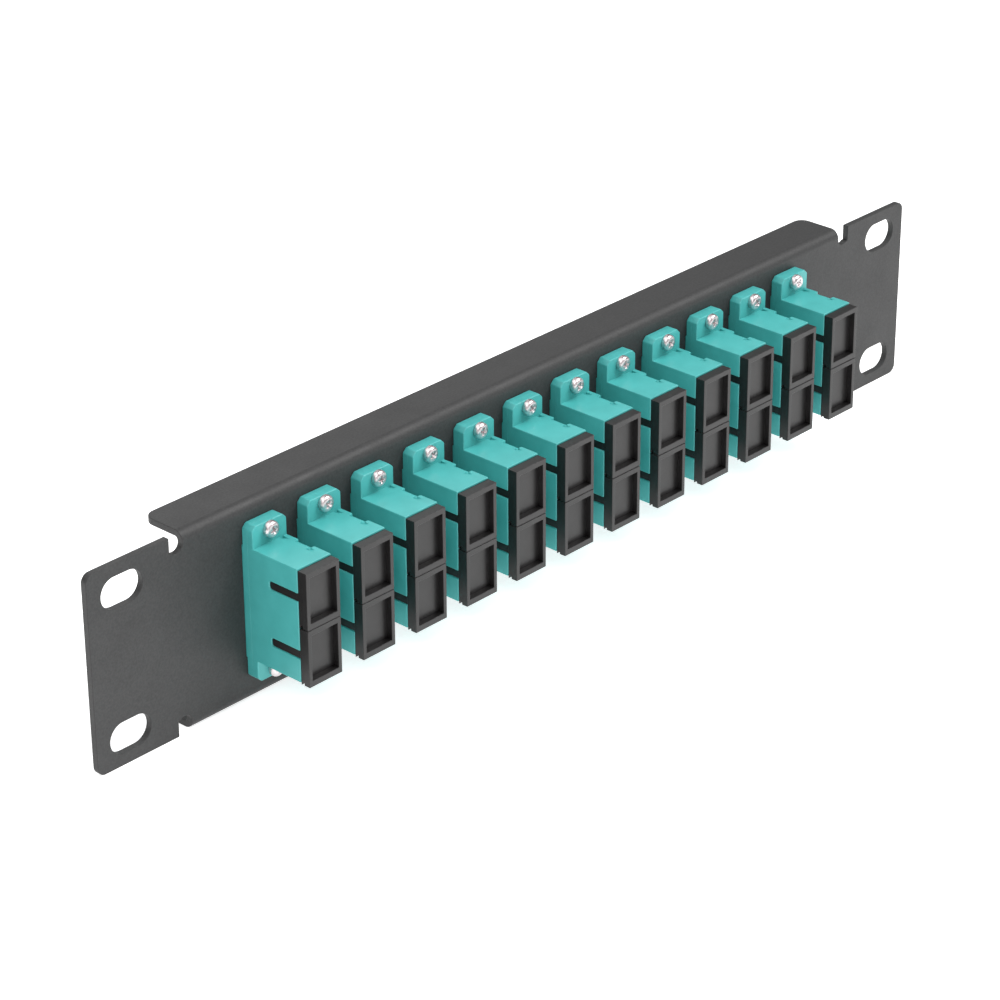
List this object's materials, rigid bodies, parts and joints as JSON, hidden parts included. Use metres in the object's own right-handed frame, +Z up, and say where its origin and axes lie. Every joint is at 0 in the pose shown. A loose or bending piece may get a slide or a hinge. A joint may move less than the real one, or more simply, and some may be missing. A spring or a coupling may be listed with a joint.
{
  "type": "fibre patch panel",
  "caption": "Black folded sheet patch panel for a ten inch rack, with a row of upright duplex SC fibre adapters in aqua and a black dust cap in each front port.",
  "frame": {"origin": "centre of the four rack slots, on the rear face of the ears", "axes": "X along the panel, +Y into the rack, +Z up; the ports face -Y"},
  "size_m": [0.254, 0.03, 0.044],
  "materials": {
    "powder_coat": "fine texture powder coat, black",
    "adapter_plastic": "moulded, satin",
    "insert_plastic": "moulded, satin",
    "zirconia": "ground ceramic",
    "screw_steel": "nickel plated",
    "cap_plastic": "moulded, satin"
  },
  "bodies": {
    "root": {"panel": "powder_coat", "adapter_01_front_shell": "adapter_plastic", "adapter_01_rear_shell": "adapter_plastic", "adapter_02_front_shell": "adapter_plastic", "adapter_02_rear_shell": "adapter_plastic", "adapter_03_front_shell": "adapter_plastic", "adapter_03_rear_shell": "adapter_plastic", "adapter_04_front_shell": "adapter_plastic", "adapter_04_rear_shell": "adapter_plastic", "adapter_05_front_shell": "adapter_plastic", "adapter_05_rear_shell": "adapter_plastic", "adapter_06_front_shell": "adapter_plastic", "adapter_06_rear_shell": "adapter_plastic", "adapter_07_front_shell": "adapter_plastic", "adapter_07_rear_shell": "adapter_plastic", "adapter_08_front_shell": "adapter_plastic", "adapter_08_rear_shell": "adapter_plastic", "adapter_09_front_shell": "adapter_plastic", "adapter_09_rear_shell": "adapter_plastic", "adapter_10_front_shell": "adapter_plastic", "adapter_10_rear_shell": "adapter_plastic", "adapter_11_front_shell": "adapter_plastic", "adapter_11_rear_shell": "adapter_plastic", "adapter_12_front_shell": "adapter_plastic", "adapter_12_rear_shell": "adapter_plastic", "front_latch_inserts": "insert_plastic", "rear_latch_inserts": "insert_plastic", "split_sleeves": "zirconia", "mounting_screws": "screw_steel"},
    "dust_cap_01_upper": {"dust_cap_01_upper": "cap_plastic"},
    "dust_cap_01_lower": {"dust_cap_01_lower": "cap_plastic"},
    "dust_cap_02_upper": {"dust_cap_02_upper": "cap_plastic"},
    "dust_cap_02_lower": {"dust_cap_02_lower": "cap_plastic"},
    "dust_cap_03_upper": {"dust_cap_03_upper": "cap_plastic"},
    "dust_cap_03_lower": {"dust_cap_03_lower": "cap_plastic"},
    "dust_cap_04_upper": {"dust_cap_04_upper": "cap_plastic"},
    "dust_cap_04_lower": {"dust_cap_04_lower": "cap_plastic"},
    "dust_cap_05_upper": {"dust_cap_05_upper": "cap_plastic"},
    "dust_cap_05_lower": {"dust_cap_05_lower": "cap_plastic"},
    "dust_cap_06_upper": {"dust_cap_06_upper": "cap_plastic"},
    "dust_cap_06_lower": {"dust_cap_06_lower": "cap_plastic"},
    "dust_cap_07_upper": {"dust_cap_07_upper": "cap_plastic"},
    "dust_cap_07_lower": {"dust_cap_07_lower": "cap_plastic"},
    "dust_cap_08_upper": {"dust_cap_08_upper": "cap_plastic"},
    "dust_cap_08_lower": {"dust_cap_08_lower": "cap_plastic"},
    "dust_cap_09_upper": {"dust_cap_09_upper": "cap_plastic"},
    "dust_cap_09_lower": {"dust_cap_09_lower": "cap_plastic"},
    "dust_cap_10_upper": {"dust_cap_10_upper": "cap_plastic"},
    "dust_cap_10_lower": {"dust_cap_10_lower": "cap_plastic"},
    "dust_cap_11_upper": {"dust_cap_11_upper": "cap_plastic"},
    "dust_cap_11_lower": {"dust_cap_11_lower": "cap_plastic"},
    "dust_cap_12_upper": {"dust_cap_12_upper": "cap_plastic"},
    "dust_cap_12_lower": {"dust_cap_12_lower": "cap_plastic"}
  },
  "joints": [
    {"name": "pull_dust_cap_01_upper", "type": "slide", "parent": "root", "child": "dust_cap_01_upper", "axis": [0, -1, 0], "range_m": [0, 0.016]},
    {"name": "pull_dust_cap_01_lower", "type": "slide", "parent": "root", "child": "dust_cap_01_lower", "axis": [0, -1, 0], "range_m": [0, 0.016]},
    {"name": "pull_dust_cap_02_upper", "type": "slide", "parent": "root", "child": "dust_cap_02_upper", "axis": [0, -1, 0], "range_m": [0, 0.016]},
    {"name": "pull_dust_cap_02_lower", "type": "slide", "parent": "root", "child": "dust_cap_02_lower", "axis": [0, -1, 0], "range_m": [0, 0.016]},
    {"name": "pull_dust_cap_03_upper", "type": "slide", "parent": "root", "child": "dust_cap_03_upper", "axis": [0, -1, 0], "range_m": [0, 0.016]},
    {"name": "pull_dust_cap_03_lower", "type": "slide", "parent": "root", "child": "dust_cap_03_lower", "axis": [0, -1, 0], "range_m": [0, 0.016]},
    {"name": "pull_dust_cap_04_upper", "type": "slide", "parent": "root", "child": "dust_cap_04_upper", "axis": [0, -1, 0], "range_m": [0, 0.016]},
    {"name": "pull_dust_cap_04_lower", "type": "slide", "parent": "root", "child": "dust_cap_04_lower", "axis": [0, -1, 0], "range_m": [0, 0.016]},
    {"name": "pull_dust_cap_05_upper", "type": "slide", "parent": "root", "child": "dust_cap_05_upper", "axis": [0, -1, 0], "range_m": [0, 0.016]},
    {"name": "pull_dust_cap_05_lower", "type": "slide", "parent": "root", "child": "dust_cap_05_lower", "axis": [0, -1, 0], "range_m": [0, 0.016]},
    {"name": "pull_dust_cap_06_upper", "type": "slide", "parent": "root", "child": "dust_cap_06_upper", "axis": [0, -1, 0], "range_m": [0, 0.016]},
    {"name": "pull_dust_cap_06_lower", "type": "slide", "parent": "root", "child": "dust_cap_06_lower", "axis": [0, -1, 0], "range_m": [0, 0.016]},
    {"name": "pull_dust_cap_07_upper", "type": "slide", "parent": "root", "child": "dust_cap_07_upper", "axis": [0, -1, 0], "range_m": [0, 0.016]},
    {"name": "pull_dust_cap_07_lower", "type": "slide", "parent": "root", "child": "dust_cap_07_lower", "axis": [0, -1, 0], "range_m": [0, 0.016]},
    {"name": "pull_dust_cap_08_upper", "type": "slide", "parent": "root", "child": "dust_cap_08_upper", "axis": [0, -1, 0], "range_m": [0, 0.016]},
    {"name": "pull_dust_cap_08_lower", "type": "slide", "parent": "root", "child": "dust_cap_08_lower", "axis": [0, -1, 0], "range_m": [0, 0.016]},
    {"name": "pull_dust_cap_09_upper", "type": "slide", "parent": "root", "child": "dust_cap_09_upper", "axis": [0, -1, 0], "range_m": [0, 0.016]},
    {"name": "pull_dust_cap_09_lower", "type": "slide", "parent": "root", "child": "dust_cap_09_lower", "axis": [0, -1, 0], "range_m": [0, 0.016]},
    {"name": "pull_dust_cap_10_upper", "type": "slide", "parent": "root", "child": "dust_cap_10_upper", "axis": [0, -1, 0], "range_m": [0, 0.016]},
    {"name": "pull_dust_cap_10_lower", "type": "slide", "parent": "root", "child": "dust_cap_10_lower", "axis": [0, -1, 0], "range_m": [0, 0.016]},
    {"name": "pull_dust_cap_11_upper", "type": "slide", "parent": "root", "child": "dust_cap_11_upper", "axis": [0, -1, 0], "range_m": [0, 0.016]},
    {"name": "pull_dust_cap_11_lower", "type": "slide", "parent": "root", "child": "dust_cap_11_lower", "axis": [0, -1, 0], "range_m": [0, 0.016]},
    {"name": "pull_dust_cap_12_upper", "type": "slide", "parent": "root", "child": "dust_cap_12_upper", "axis": [0, -1, 0], "range_m": [0, 0.016]},
    {"name": "pull_dust_cap_12_lower", "type": "slide", "parent": "root", "child": "dust_cap_12_lower", "axis": [0, -1, 0], "range_m": [0, 0.016]}
  ]
}
